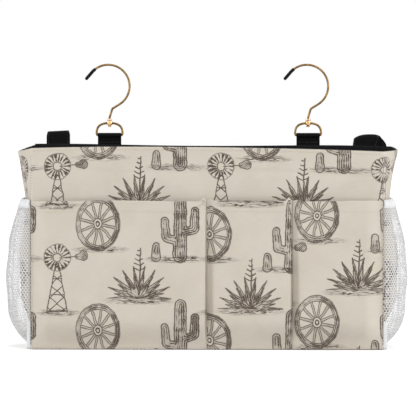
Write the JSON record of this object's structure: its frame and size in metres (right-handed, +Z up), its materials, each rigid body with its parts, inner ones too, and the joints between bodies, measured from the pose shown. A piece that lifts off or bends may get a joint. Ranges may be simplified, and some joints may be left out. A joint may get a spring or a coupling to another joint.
{
  "type": "bedside caddy",
  "caption": "Cloth bedside caddy with pleated front pockets, net side pockets, swivel hooks on D-rings and fold-over webbing straps.",
  "frame": {"origin": "centre of the underside of the base", "axes": "+X to the right seen from the front, -Y out of the front with the pockets, +Z up"},
  "size_m": [0.4266, 0.1194, 0.3001],
  "materials": {
    "printed_cloth": "plain woven, printed",
    "lining": "plain woven",
    "webbing": "ribbed webbing",
    "net": "knitted net",
    "elastic": "ribbed elastic and binding tape",
    "gold_wire": "polished light gold plating",
    "vinyl": "smooth soft black vinyl",
    "board": "stiff sheet",
    "foam": "soft foam padding",
    "hook_and_loop": "hook-and-loop tape"
  },
  "bodies": {
    "root": {"front_shell": "printed_cloth", "back_shell": "printed_cloth", "gusset_left": "printed_cloth", "gusset_right": "printed_cloth", "base_shell": "printed_cloth", "pocket_wide": "printed_cloth", "pocket_middle": "printed_cloth", "pocket_narrow": "printed_cloth", "front_padding": "foam", "back_board": "board", "base_board": "board", "lining_front": "lining", "lining_back": "lining", "lining_left": "lining", "lining_right": "lining", "lining_base": "lining", "mesh_pocket_left": "net", "mesh_pocket_right": "net", "mesh_elastic_left": "elastic", "mesh_elastic_right": "elastic", "mesh_binding_left": "elastic", "mesh_binding_right": "elastic", "tab_left": "webbing", "tab_right": "webbing", "strap_left": "webbing", "strap_right": "webbing", "loop_tape_left": "hook_and_loop", "loop_tape_right": "hook_and_loop"},
    "ring_left": {"d_ring_left": "gold_wire"},
    "ring_right": {"d_ring_right": "gold_wire"},
    "hanger_left": {"hook_left": "gold_wire", "swivel_collar_left": "gold_wire", "hook_tip_left": "vinyl"},
    "hanger_right": {"hook_right": "gold_wire", "swivel_collar_right": "gold_wire", "hook_tip_right": "vinyl"},
    "flap_left": {"strap_flap_left": "webbing", "hook_tape_left": "hook_and_loop"},
    "flap_right": {"strap_flap_right": "webbing", "hook_tape_right": "hook_and_loop"}
  },
  "joints": [
    {"name": "ring_tilt_left", "type": "hinge", "parent": "root", "child": "ring_left", "pos_m": [-0.1065, 0.04645, 0.2233], "axis": [1, 0, 0], "range_deg": [-85, 85]},
    {"name": "ring_tilt_right", "type": "hinge", "parent": "root", "child": "ring_right", "pos_m": [0.1065, 0.04645, 0.2233], "axis": [1, 0, 0], "range_deg": [-85, 85]},
    {"name": "hook_swivel_left", "type": "hinge", "parent": "ring_left", "child": "hanger_left", "pos_m": [-0.1065, 0.04645, 0.2365], "axis": [0, 0, 1], "continuous": true},
    {"name": "hook_swivel_right", "type": "hinge", "parent": "ring_right", "child": "hanger_right", "pos_m": [0.1065, 0.04645, 0.2365], "axis": [0, 0, 1], "continuous": true},
    {"name": "flap_fold_left", "type": "hinge", "parent": "root", "child": "flap_left", "pos_m": [-0.162, 0.0569, 0.22485], "axis": [1, 0, 0], "range_deg": [0, 150]},
    {"name": "flap_fold_right", "type": "hinge", "parent": "root", "child": "flap_right", "pos_m": [0.16703, 0.0569, 0.21805], "axis": [0.9781, 0, 0.2079], "range_deg": [0, 150]}
  ]
}
